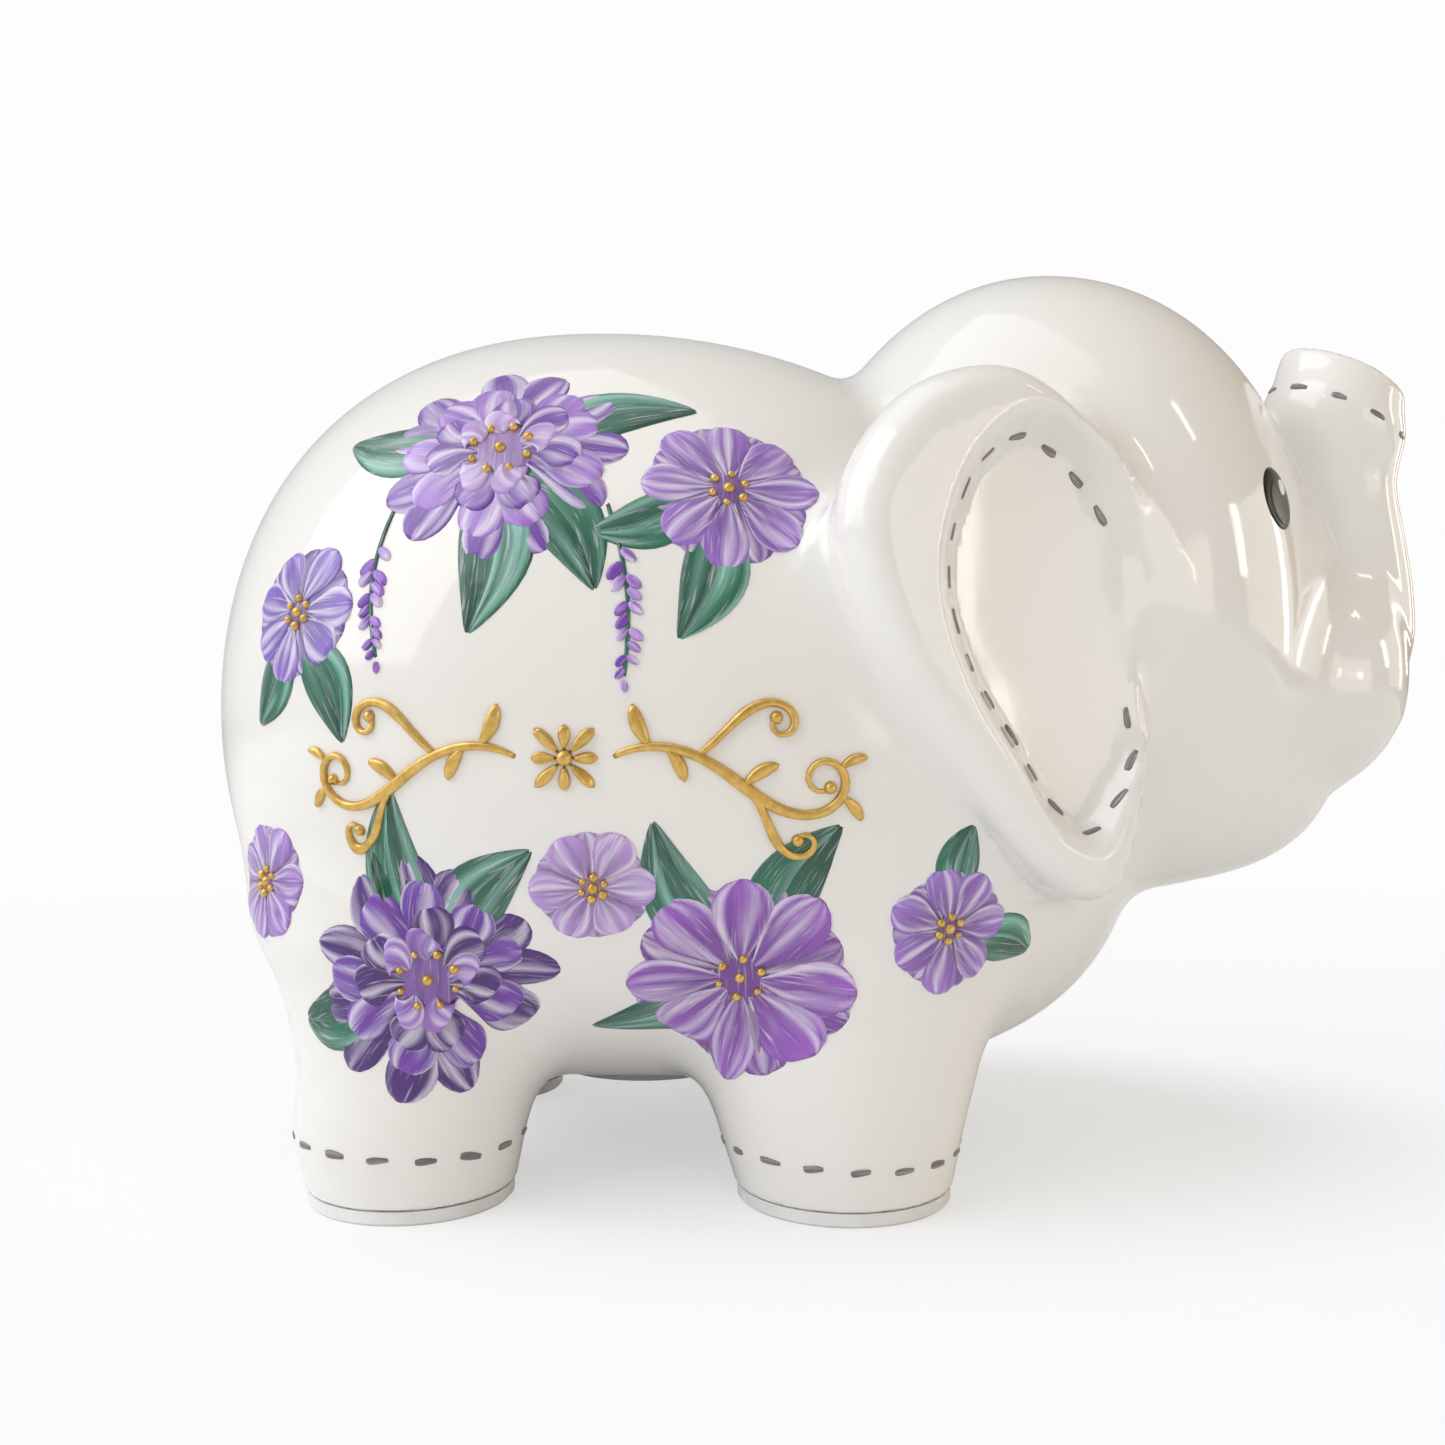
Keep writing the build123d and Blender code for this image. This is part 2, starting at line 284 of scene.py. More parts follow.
def trunk(p):
    """Raised tube with a dished tip, on a round muzzle over a chin."""
    shares, behind, radii = (np.array(values) for values in zip(*TRUNK))
    heights = np.r_[MUZZLE_Z + TRUNK_HEIGHT * shares, TIP[2]]
    radii = np.r_[radii * MM, TIP_RADIUS]
    middles = np.r_[TRUNK_FRONT - behind * MM - radii[:-1], TIP[0]]
    tube = column(p, heights, middles, 0 * middles, radii, TIP_EDGE, TIP_LEAN, heights[-3])
    muzzle = ball(p, MUZZLE_X, MUZZLE_Z, MUZZLE_RADIUS)
    valley = np.interp(p[:, 0] - MUZZLE_X, *np.array(VALLEY).T * MM)
    form = smooth_min(tube, muzzle, valley)
    form = smooth_min(form, ball(p, CHIN_X, CHIN_Z, CHIN_RADIUS), CHIN_JOINT)
    out = (p - TIP) @ TIP_FACING
    across = np.sqrt(np.maximum(((p - TIP) ** 2).sum(1) - out**2, 0))
    side = across - NOSTRIL_RADIUS - NOSTRIL_TAPER * np.minimum(out, 0)
    return smooth_max(form, -np.maximum(side, -NOSTRIL_DEPTH - out), NOSTRIL_EDGE)


# Lines of the ear's rim and basin: ahead of the ear's root, above it
EAR_RIM = (
    (-1, 0), (-4, 18), (-12, 32), (-27, 39), (-45, 32.5), (-55.5, 14), (-49.5, -8), (-35, -28.5),
    (-19, -45.5), (-6, -47.5), (0, -26),
)
EAR_BASIN = (
    (14, -2), (5.5, 14.5), (-7.5, 26), (-21, 30.5), (-31.8, 23.5), (-37.5, 10.5), (-37.5, -1),
    (-32.8, -13.5), (-25, -25.5), (-18, -36), (-10.5, -39), (-3.5, -31), (7, -18),
)


def closed_curve(points, count):
    """Smooth closed line through points, evenly divided between each two."""
    p = np.array(points, float)
    before, after, beyond = np.roll(p, 1, 0), np.roll(p, -1, 0), np.roll(p, -2, 0)
    t = np.linspace(0, 1, count, endpoint=False)[:, None, None]
    line = 0.5 * (2 * p + (after - before) * t + (2 * before - 5 * p + 4 * after - beyond) * t**2
                  + (3 * p - before - 3 * after + beyond) * t**3)
    return line.transpose(1, 0, 2).reshape(-1, 2)


RIM_LINE = closed_curve(EAR_RIM, 6) * MM
BASIN_LINE = closed_curve(EAR_BASIN, 6) * MM


def outside_line(q, line):
    """Signed distance from points of a plane to a closed line, positive outside it."""
    nearest = np.full(len(q), 1e9)
    crossings = np.zeros(len(q), int)
    for a, b in zip(line, np.roll(line, -1, 0)):
        run = b - a
        t = np.clip(((q - a) @ run) / (run @ run), 0, 1)
        nearest = np.minimum(nearest, ((q - a - t[:, None] * run) ** 2).sum(1))
        if a[1] != b[1]:
            rises = (a[1] > q[:, 1]) != (b[1] > q[:, 1])
            crossings += rises & (q[:, 0] < a[0] + (q[:, 1] - a[1]) * run[0] / run[1])
    return np.sqrt(nearest) * np.where(crossings % 2, -1, 1)


# The ear's own axes: ahead, up and out of its face
EAR_AXES = np.array((
    (cos(EAR_TILT), sin(EAR_TILT), 0),
    (0, 0, 1),
    (sin(EAR_TILT), -cos(EAR_TILT), 0),
))


def ear(q):
    """An ear in its own axes: a thick leaf-shaped plate with a rounded rim and a sunken basin.
    Returns the distance to it and the reach of its fillet, which is widest behind the ear and
    where its edge runs into the cheek."""
    half = EAR_THICKNESS / 2
    rim = outside_line(q[:, :2], RIM_LINE) + half
    plate = np.hypot(np.maximum(rim, 0), q[:, 2]) - half
    outside_basin = outside_line(q[:, :2], BASIN_LINE)
    basin = np.clip(BASIN_LEVEL - outside_basin / BASIN_SLOPE, 0, 1)
    off_middle = (q[:, :2] / MM - BOWL_MIDDLE) / BOWL_HALF_SIZE
    bowl = BOWL_DEPTH * np.maximum(1 - (off_middle**2).sum(1), 0)
    floor = half - (BASIN_DEPTH + bowl) * basin**2 * (3 - 2 * basin)
    towards_cheek = np.clip((q[:, 0] + 26 * MM) / (20 * MM), 0, 1)  # full 6 mm before the root
    on_tip = np.minimum(1 + (rim - half) / (6 * MM), 1 + outside_basin / (9 * MM))
    on_rim = np.clip(np.maximum(outside_basin / (8 * MM), on_tip), 0, 1)  # none deep in the basin
    behind = np.clip(-q[:, 2] / half - 0.2, 0, 0.7)
    reach = (EAR_FILLET + EAR_FILLET_GAIN * np.maximum(towards_cheek * on_rim, behind)) * MM
    return smooth_max(plate, q[:, 2] - floor, BASIN_EDGE), reach


def ears(p):
    folded = np.c_[p[:, 0], -np.abs(p[:, 1]), p[:, 2]]
    local = (folded - EAR_ORIGIN) @ EAR_AXES.T
    low = np.array((*RIM_LINE.min(0), -EAR_THICKNESS / 2)) - EAR_MARGIN
    high = np.array((*RIM_LINE.max(0), EAR_THICKNESS / 2)) + EAR_MARGIN
    inside = ((local > low) & (local < high)).all(1)
    distance, reach = np.full(len(p), EAR_MARGIN), np.full(len(p), EAR_FILLET * MM)
    if inside.any():
        distance[inside], reach[inside] = ear(local[inside])
    return distance, reach


# Above the barrel's middle, proud of the rump, radius
TAIL = ((-9, -0.6, 1.6), (-4, 2.6, 4.8), (0, 3, 4.6), (10, 2.4, 3.4), (21, 1.2, 2.8), (25, -0.5, 1.6))


def tail(p):
    above, proud, radii = (np.array(values) * MM for values in zip(*TAIL))
    rump = RUMP_LENGTH * (1 - np.abs(above / BARREL_RADIUS) ** FORM_POWER) ** (1 / FORM_POWER)
    return column(p, above + BARREL_Z, BARREL_X - rump - proud + radii, 0 * radii, radii, TAIL_EDGE)


def skin(p):
    """Outside of the fired ceramic, without its openings."""
    form = smooth_min(torso(p), head(p), NECK_JOINT)
    for leg in LEGS:
        pair = near(leg.form, p, (leg.low.x, -leg.high.y, leg.low.z), leg.high)
        form = smooth_min(form, pair, LEG_JOINT)
    crease = np.interp(p[:, 2] - MUZZLE_Z, *np.array(CREASE).T * MM)
    form = smooth_min(form, near(trunk, p, trunk_low, trunk_high, TRUNK_MARGIN), crease)
    form = smooth_min(form, *ears(p))
    return smooth_min(form, near(tail, p, tail_low, tail_high), TAIL_JOINT)


def slot(p):
    from_middle = np.maximum(np.abs(p[:, 1]) - (SLOT_LENGTH - SLOT_WIDTH) / 2, 0)
    side = np.hypot(p[:, 0] - SLOT_X, from_middle) - SLOT_WIDTH / 2
    return np.maximum(side, BARREL_Z - p[:, 2])


def stopper_hole(p):
    side = np.hypot(p[:, 0] - STOPPER_X, p[:, 1]) - HOLE_RADIUS
    return np.maximum(side, p[:, 2] - BELLY_HEIGHT - HOLE_HEIGHT)


def ceramic(p):
    """The fired ceramic with its hollow, coin slot and stopper hole."""
    outside = skin(p)
    deep = outside < -WALL / 2
    hollow = np.full(len(p), WALL)
    hollow[deep] = smooth_min(torso(p[deep], WALL), head(p[deep], WALL), HOLLOW_JOINT)
    empty = smooth_min(smooth_min(hollow, slot(p), SLOT_JOINT), stopper_hole(p), HOLE_JOINT)
    return smooth_max(outside, -empty, OPENING_EDGE)


LEAST_SLOPE = 0.05  # squared; keeps steps short where a field is nearly flat


def gradient(field, p, value, step=0.02 * MM):
    return np.stack([field(p + offset) - value for offset in np.eye(3) * step], 1) / step


def settle(field, p, rounds):
    """Moves points on to the surface of a field. Returns them with the surface's normals."""
    for _ in range(rounds):
        value = field(p)
        slope = gradient(field, p, value)
        p = p - slope * (value / np.maximum((slope**2).sum(1), LEAST_SLOPE))[:, None]
    return p, unit(gradient(field, p, field(p)))


# -------------------------------- mesh of the glazed skin


def net_of(field, low, high, step):
    """Closed quad net round a field's inside: one point in each grid cell that the surface crosses."""
    axes = [np.arange(a, b + step, step) for a, b in zip(low, high)]
    grid = np.stack(np.meshgrid(*axes, indexing="ij"), -1)
    shape = grid.shape[:3]
    inside = (field(grid.reshape(-1, 3)) < 0).reshape(shape)
    corners = [inside[i:shape[0] - 1 + i, j:shape[1] - 1 + j, k:shape[2] - 1 + k]
               for i in (0, 1) for j in (0, 1) for k in (0, 1)]
    filled = sum(corner.astype(int) for corner in corners)
    crossed = (filled > 0) & (filled < 8)
    number = np.full(crossed.shape, -1)
    number[crossed] = np.arange(crossed.sum())
    points = grid[:-1, :-1, :-1][crossed] + step / 2
    quads = []
    for axis in range(3):
        u, v = (axis + 1) % 3, (axis + 2) % 3
        within = np.moveaxis(inside, (axis, u, v), (0, 1, 2))
        cells = np.moveaxis(number, (axis, u, v), (0, 1, 2))
        starts, ends = within[:-1, 1:-1, 1:-1], within[1:, 1:-1, 1:-1]
        ring = np.stack((cells[:, :-1, :-1], cells[:, 1:, :-1], cells[:, 1:, 1:], cells[:, :-1, 1:]), -1)
        quads += [ring[starts & ~ends], ring[ends & ~starts][:, ::-1]]
    return points, np.concatenate(quads)


def even_out(points, edges):
    """Moves each point half-way to the middle of its neighbours."""
    total = np.zeros_like(points)
    count = np.zeros(len(points))
    for a, b in (edges.T, edges.T[::-1]):
        np.add.at(total, a, points[b])
        np.add.at(count, a, 1)
    return points + 0.5 * (total / count[:, None] - points)


def new_object(name, data):
    thing = bpy.data.objects.new(name, data)
    bpy.context.scene.collection.objects.link(thing)
    return thing


def mesh_object(name, points, faces):
    mesh = bpy.data.meshes.new(name)
    mesh.from_pydata(np.asarray(points).tolist(), [], [list(map(int, face)) for face in faces])
    mesh.polygons.foreach_set("use_smooth", [True] * len(mesh.polygons))
    return new_object(name, mesh)


def points_of(mesh):
    points = np.zeros(3 * len(mesh.vertices))
    mesh.vertices.foreach_get("co", points)
    return points.reshape(-1, 3)


def edges_of(mesh):
    edges = np.zeros(2 * len(mesh.edges), int)
    mesh.edges.foreach_get("vertices", edges)
    return edges.reshape(-1, 2)


NET_STEP = 2.06 * MM  # at 2.06 no edge of the net has over two faces
SHARP_TURN = radians(14)  # a face whose corners' normals differ by more is divided


def glazed_skin():
    """The whole ceramic body as one mesh, finer where it curves tightly."""
    low = np.array(cad_box[0]) - 2 * NET_STEP
    high = np.array(cad_box[1]) + 2 * NET_STEP
    points, quads = net_of(ceramic, low, high, NET_STEP)
    piece = mesh_object("glazed_body", points, quads)
    mesh = piece.data
    for _ in range(2):
        points, normals = settle(ceramic, even_out(points, edges_of(mesh)), 1)
    mesh.vertices.foreach_set("co", points.ravel())
    turn = (normals[quads[:, 0]] * normals[quads[:, 2]]).sum(1)
    turn = np.minimum(turn, (normals[quads[:, 1]] * normals[quads[:, 3]]).sum(1))
    shaped = bmesh.new()
    shaped.from_mesh(mesh)
    shaped.faces.ensure_lookup_table()
    tight = [shaped.faces[i] for i in np.flatnonzero(turn < cos(SHARP_TURN))]
    edges = list({edge for face in tight for edge in face.edges})
    bmesh.ops.subdivide_edges(shaped, edges=edges, cuts=1, use_grid_fill=True)
    bmesh.ops.triangulate(shaped, faces=[face for face in shaped.faces if len(face.verts) > 4])
    shaped.to_mesh(mesh)
    shaped.free()
    points = settle(ceramic, points_of(mesh), 2)[0]
    for _ in range(2):
        points, normals = settle(ceramic, even_out(points, edges_of(mesh)), 2)
    mesh.vertices.foreach_set("co", points.ravel())
    mesh.polygons.foreach_set("use_smooth", [True] * len(mesh.polygons))
    mesh.update()
    mesh.normals_split_custom_set_from_vertices(normals.tolist())
    return piece


# -------------------------------- materials


class Nodes:
    """Short way to write the nodes of a new material, or of a world."""

    def __init__(self, name, world=False):
        self.owner = (bpy.data.worlds if world else bpy.data.materials).new(name)
        self.owner.use_nodes = True
        self.tree = self.owner.node_tree
        self.shader = self.tree.nodes["Background" if world else "Principled BSDF"]

    def add(self, kind, inputs=None, **settings):
        node = self.tree.nodes.new("ShaderNode" + kind)
        for key, value in settings.items():
            setattr(node, key, value)
        for key, value in (inputs or {}).items():
            self.set(node.inputs[key], value)
        return node

    def set(self, socket, value):
        if isinstance(value, bpy.types.NodeSocket):
            self.tree.links.new(value, socket)
        else:
            socket.default_value = value

    def shade(self, **inputs):
        for key, value in inputs.items():
            self.set(self.shader.inputs[key.replace("_", " ")], value)

    def noise(self, scale, detail, where):
        inputs = {"Scale": scale, "Detail": detail, "Vector": where}
        return self.add("TexNoise", inputs).outputs["Fac"]

    def place(self):
        return self.add("TexCoord").outputs["Object"]

    def stretched(self, vector, scale):
        return self.add("Mapping", {"Vector": vector, "Scale": scale}).outputs["Vector"]

    def ramp(self, fac, *stops):
        node = self.add("ValToRGB", {"Fac": fac})
        elements = node.color_ramp.elements
        while len(elements) < len(stops):
            elements.new(0.5)
        for element, (position, color) in zip(elements, stops):
            element.position = position
            element.color = (*color, 1)
        return node.outputs["Color"]

    def between(self, fac, low, high, start=0.0, end=1.0):
        inputs = {"Value": fac, "From Min": start, "From Max": end, "To Min": low, "To Max": high}
        return self.add("MapRange", inputs).outputs["Result"]

    def mix(self, fac, first, second, kind="MIX"):
        """Mixes a colour's socket with a plain colour. Numbers 6, 7 and 2 are colour sockets."""
        inputs = {"Factor": fac, 6: first, 7: (*second, 1)}
        return self.add("Mix", inputs, data_type="RGBA", blend_type=kind).outputs[2]

    def show_to_camera(self, fac, seen, output):
        """Gives the camera another shader, by a share. Every other ray meets the main shader."""
        inputs = {0: fac, 1: self.shader.outputs[0], 2: seen.outputs[0]}
        blended = self.add("MixShader", inputs)
        self.set(self.tree.nodes[output].inputs["Surface"], blended.outputs[0])

    def bump(self, height, strength, distance, onto=None):
        inputs = {"Height": height, "Strength": strength, "Distance": distance}
        if onto is not None:
            inputs["Normal"] = onto
        return self.add("Bump", inputs).outputs["Normal"]


def glaze():
    """Warm white gloss glaze over white earthenware, a little wavy, with faint specks."""
    n = Nodes("glaze")
    where = n.place()
    cloud = n.noise(14, 2, where)
    color = n.ramp(cloud, (0.3, (0.872, 0.848, 0.808)), (0.7, (0.893, 0.876, 0.844)))
    specks = n.noise(900, 2, where)
    color = n.mix(n.between(specks, 0, 0.25, 0.76, 0.82), color, (0.62, 0.57, 0.5))
    waves = n.bump(n.noise(42, 1, where), 0.25, 1.2 * MM)
    peel = n.bump(n.noise(420, 2, where), 0.05, 0.3 * MM, waves)
    rough = n.between(n.noise(60, 3, where), 0.05, 0.14, 0.3, 0.7)
    n.shade(Base_Color=color, Roughness=rough, Normal=peel, IOR=1.52)
    n.shade(Coat_Weight=0.35, Coat_Roughness=0.03)
    return n.owner


def acrylic(name, coat=0.6):
    """Thick hand-laid acrylic in the mesh's colours. Fine bristle streaks run along each stroke."""
    n = Nodes(name)
    color = n.add("Attribute", attribute_name="paint").outputs["Color"]
    along = n.add("UVMap", uv_map="along").outputs["UV"]
    streak = n.noise(1.0, 3, n.stretched(along, (2400, 130, 1)))
    broad = n.noise(1.0, 2, n.stretched(along, (800, 45, 1)))
    light = n.mix(n.between(streak, 0, 0.5, 0.57, 0.72), color, (0.86, 0.82, 0.92))
    dark = n.mix(n.between(broad, 0, 0.5, 0.5, 0.7), light, (0.38, 0.26, 0.52), "MULTIPLY")
    ridges = n.bump(streak, 0.35, 0.25 * MM)
    n.shade(Base_Color=dark, Roughness=n.between(broad, 0.28, 0.45), Normal=ridges)
    n.shade(Coat_Weight=coat, Coat_Roughness=0.08, IOR=1.48)
    return n.owner


def enamel(name):
    """Smooth glossy enamel in the mesh's colours, a little cloudy."""
    n = Nodes(name)
    color = n.add("Attribute", attribute_name="paint").outputs["Color"]
    cloud = n.noise(500, 3, n.place())
    color = n.mix(n.between(cloud, 0, 0.25, 0.4, 0.7), color, (0.75, 0.75, 0.75), "MULTIPLY")
    n.shade(Base_Color=color, Roughness=n.between(cloud, 0.2, 0.3), Specular_IOR_Level=0.25)
    n.shade(Normal=n.bump(cloud, 0.08, 0.1 * MM))
    return n.owner


def gold_paint():
    """Raised metallic gold liner, a little uneven."""
    n = Nodes("gold_paint")
    where = n.place()
    color = n.ramp(n.noise(700, 2, where), (0.3, (0.6, 0.36, 0.07)), (0.7, (0.8, 0.53, 0.16)))
    lumps = n.bump(n.noise(900, 2, where), 0.3, 0.2 * MM)
    n.shade(Base_Color=color, Metallic=0.75, Roughness=n.between(n.noise(300, 2, where), 0.24, 0.4))
    n.shade(Normal=lumps, Coat_Weight=0.3, Coat_Roughness=0.1)
    return n.owner


def pad_plastic():
    n = Nodes("pad_white")
    where = n.place()
    color = n.ramp(n.noise(160, 4, where), (0.3, (0.78, 0.775, 0.76)), (0.7, (0.84, 0.835, 0.825)))
    n.shade(Base_Color=color, Roughness=n.between(n.noise(500, 3, where), 0.45, 0.6))
    n.shade(Normal=n.bump(n.noise(1500, 3, where), 0.15, 0.1 * MM))
    return n.owner


def stopper_rubber():
    n = Nodes("stopper_grey")
    where = n.place()
    color = n.ramp(n.noise(220, 5, where), (0.3, (0.38, 0.38, 0.39)), (0.75, (0.45, 0.45, 0.46)))
    n.shade(Base_Color=color, Roughness=n.between(n.noise(900, 3, where), 0.5, 0.72))
    n.shade(Normal=n.bump(n.noise(2200, 3, where), 0.2, 0.08 * MM))
    return n.owner


# -------------------------------- places on the glaze

NEAR, FAR = -1, 1  # the elephant's right side, which the camera sees, and its left


def drop_on(points, direction, rounds=30, share=0.8):
    """Moves points along a direction until they touch the glaze, by a share of the way a round."""
    points, direction = np.array(points, float), unit(np.array(direction, float))
    for _ in range(rounds):
        points = points + direction * (share * skin(points))[:, None]
    return points


class Place:
    """A spot on the glaze, with its own right and up as seen from outside."""

    def __init__(self, origin, out, right):
        self.origin = origin
        self.right = unit(right - out * (out @ right))
        self.up = np.cross(out, self.right)

    def at(self, flat):
        return self.origin + flat[..., :1] * self.right + flat[..., 1:] * self.up


def places_at(points, rights):
    """Places on the glaze nearest to points."""
    return [Place(*values) for values in zip(*settle(skin, points, 1), rights)]


def on_side(side, x, z, turn=0.0):
    """Place on the flank, at x and z in millimetres, turned towards the rump."""
    clear_of_it = 110 * MM
    start = drop_on([(x * MM, side * clear_of_it, z * MM)], (0, -side, 0))
    right = np.array((-side * cos(turn), 0, sin(turn) * -side))
    return places_at(start, [right])[0]


# -------------------------------- brush strokes


def srgb(red, green, blue):
    """Linear colour of a paint chip given as 0 to 255."""
    return tuple(((c / 255 + 0.055) / 1.055) ** 2.4 for c in (red, green, blue))


LILAC = srgb(196, 158, 228)
LAVENDER = srgb(166, 118, 214)
VIOLET = srgb(118, 58, 176)
PLUM = srgb(76, 26, 124)
BLUE_VIOLET = srgb(136, 100, 206)
PALE = srgb(238, 230, 246)
MAUVE = srgb(160, 92, 204)
PINE = srgb(14, 74, 58)
EMERALD = srgb(28, 118, 88)
MINT = srgb(150, 208, 190)
STITCH_GREY = srgb(118, 108, 104)
PALE_GREY = srgb(168, 164, 162)
INK = srgb(20, 26, 24)
IRIS_GREY = srgb(46, 52, 48)
GLINT = (0.88, 0.88, 0.88)
GOLD = (1, 1, 1)  # the liner's own material carries its colour


def travelled(line):
    """Distance along a line at each of its points."""
    return np.r_[0, np.cumsum(np.linalg.norm(np.diff(line, axis=0), axis=1))]


class Paint:
    """Strokes of one kind of paint, gathered into one mesh."""

    SUNK = 0.12 * MM  # how far a stroke's border lies inside the glaze
    RISE = 9  # a stroke is at full height after one part in nine of its length
    STREAK_SHARE = 0.75  # of the streaks' colour where they are strongest
    LATE_TIP = 1.6  # how late the far end's colour comes in

    def __init__(self, seed):
        self.random = np.random.default_rng(seed)
        self.points, self.lifts, self.colors, self.maps, self.faces = [], [], [], [], []
        self.count = 0

    def add(self, points, lift, color, flat_map, wrapped):
        """One closed patch from a grid of points. A wrapped grid closes on itself across."""
        rows, columns = points.shape[:2]
        number = self.count + np.arange(rows * columns).reshape(rows, columns)
        after = np.roll(number, -1, 1) if wrapped else number[:, 1:]
        start = number if wrapped else number[:, :-1]
        quads = np.stack((start[:-1], after[:-1], after[1:], start[1:]), -1).reshape(-1, 4)
        self.faces += quads.tolist()
        if wrapped:
            self.faces += [number[0, ::-1].tolist(), number[-1].tolist()]
        else:
            edge = [*number[0], *number[1:, -1], *number[-1, -2::-1], *number[-2:0:-1, 0]]
            self.faces.append(edge[::-1])
        self.points.append(points.reshape(-1, 3))
        self.lifts.append(lift.ravel())
        self.colors.append(color.reshape(-1, 3))
        self.maps.append(flat_map.reshape(-1, 2))
        self.count += rows * columns

    def stroke(self, place, line, half_width, thickness, tones, lift=0.0, ridge=0.3, columns=11):
        """A stroke of the brush along a line in the place's plane. Its tones are those of its body,
        its streaks and its far end. Three waves across it, which drift a little, are bristle marks."""
        run = unit(np.gradient(line, axis=0))
        side = np.stack((run[:, 1], -run[:, 0]), -1)
        across = np.sin(np.linspace(-pi / 2, pi / 2, columns))
        along = np.linspace(0, 1, len(line))
        aside = half_width[:, None] * across
        flat = line[:, None] + side[:, None] * aside[..., None]
        streaks = np.zeros((len(line), columns))
        for frequency in self.random.uniform((3, 7, 11), (6, 11, 17)):
            turns, phase = self.random.uniform(0.4, 1.1), self.random.uniform(0, tau)
            drift = 0.5 * np.sin(tau * along * turns + phase)
            phase = self.random.uniform(0, tau)
            streaks += np.sin(frequency * across + phase + drift[:, None]) / 2.2
        crown = np.clip(1 - across**4, 0, 1) ** 0.5 * (1 + ridge * streaks)
        ends = np.clip(np.minimum(along, 1 - along) * self.RISE, 0, 1)[:, None] ** 0.5
        height = lift + thickness * crown * ends
        border = np.zeros_like(height, bool)
        border[[0, -1]] = border[:, [0, -1]] = True
        height = np.where(border, -self.SUNK, height)
        body, streak, tip = (np.array(tone) for tone in tones)
        blend = np.clip(streaks * 1.3, 0, 1)[..., None] * self.STREAK_SHARE
        color = body + (tip - body) * (along**self.LATE_TIP)[:, None, None]
        color = color + (streak - color) * blend
        offset = self.random.uniform(0, 1, 2)
        flat_map = np.stack(np.broadcast_arrays(aside, travelled(line)[:, None]), -1)
        self.add(place.at(flat), height, color, flat_map + offset, False)

    def dot(self, place, x, y, radius, height, tone, rows=5, columns=12, stretch=1.0, lift=0.0):
        """A round blob, such as a bead of liner or the dab of a brush's tip."""
        share = np.linspace(1, 0.12, rows)[:, None]
        angle = np.linspace(0, tau, columns, endpoint=False)
        reach = radius * share
        flat = np.stack((x + reach * np.cos(angle), y + stretch * reach * np.sin(angle)), -1)
        lifts = lift + height * np.sqrt(np.clip(1 - share**2, 0, 1)) * np.ones(columns)
        lifts[0] = -self.SUNK
        color = np.broadcast_to(np.array(tone), (rows, columns, 3))
        offset = self.random.uniform(0, 1, 2)
        self.add(place.at(flat), lifts, color, flat + offset, True)

    def build(self, name, material):
        points, normals = settle(skin, np.concatenate(self.points), 2)
        points = points + normals * np.concatenate(self.lifts)[:, None]
        piece = mesh_object(name, points, self.faces)
        mesh = piece.data
        colors = np.c_[np.concatenate(self.colors), np.ones(len(points))]
        attribute = mesh.color_attributes.new("paint", "FLOAT_COLOR", "POINT")
        attribute.data.foreach_set("color", colors.ravel())
        corners = np.zeros(len(mesh.loops), int)
        mesh.loops.foreach_get("vertex_index", corners)
        layer = mesh.uv_layers.new(name="along")
        layer.data.foreach_set("uv", np.concatenate(self.maps)[corners].ravel())
        mesh.materials.append(material)
        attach(piece, BODY)


# -------------------------------- motifs

POINTS = 15  # along a stroke
LAYER = 0.2 * MM  # how much higher each ring of petals lies
PETAL_RIDGE = 0.22  # height of a petal's bristle marks


def ray(x, y, angle, length, bow=0.0, count=POINTS):
    """Line from a point in a direction, bowed to one side."""
    t = np.linspace(0, 1, count)
    along, aside = length * t, bow * np.sin(pi * t)
    xs = x + along * cos(angle) - aside * sin(angle)
    ys = y + along * sin(angle) + aside * cos(angle)
    return np.c_[xs, ys]


def spoke(root, angle, length, bow=0.0, count=POINTS):
    """Ray that starts some way out from a motif's middle."""
    return ray(root * cos(angle), root * sin(angle), angle, length, bow, count)


def petal_width(widest, fullest, count=POINTS):
    """Half-width along a petal: slim at its root, widest at a share of its length, round-tipped."""
    t = np.linspace(0, 1, count)
    power = np.log(0.5) / np.log(fullest)
    return widest * np.clip(np.sin(pi * t**power), 0, 1) ** 0.62 + 0.04 * MM


# A dahlia's rings, the lowest first: petals, reach as a share of the radius
DAHLIA_RINGS = ((11, 1.0), (9, 0.8), (7, 0.58), (5, 0.38))


def dahlia(paint, gold, place, radius, *ring_tones):
    """Layered round flower of many radial petals, with a beaded heart."""
    heart = np.array(ring_tones[-1]) * 0.6
    paint.dot(place, 0, 0, 0.3 * radius, 0.7 * MM, heart, rows=6, columns=24)
    for level, ((count, reach), tone) in enumerate(zip(DAHLIA_RINGS, ring_tones)):
        for k in range(count):
            angle = tau * (k + 0.37 * level) / count + paint.random.normal(0, 0.05)
            length = radius * reach * paint.random.uniform(0.95, 1.04)
            root = 0.14 * radius
            line = spoke(root, angle, length - root, 0.05 * radius * (-1) ** k)
            width = petal_width(0.68 * pi * radius * reach / count, 0.68)
            tones = (np.array(tone) * 0.6, PALE, tone)
            paint.stroke(place, line, width, 0.3 * MM, tones, level * LAYER, PETAL_RIDGE)
    bead_heart(gold, place, 0.15 * radius, 8, 1.05 * MM, 0.9 * MM)


# A daisy's rings, the lower one first: turn as a share of a petal, reach, shade
DAISY_RINGS = ((0.5, 0.93, 0.62), (0.0, 1.0, 1.0))


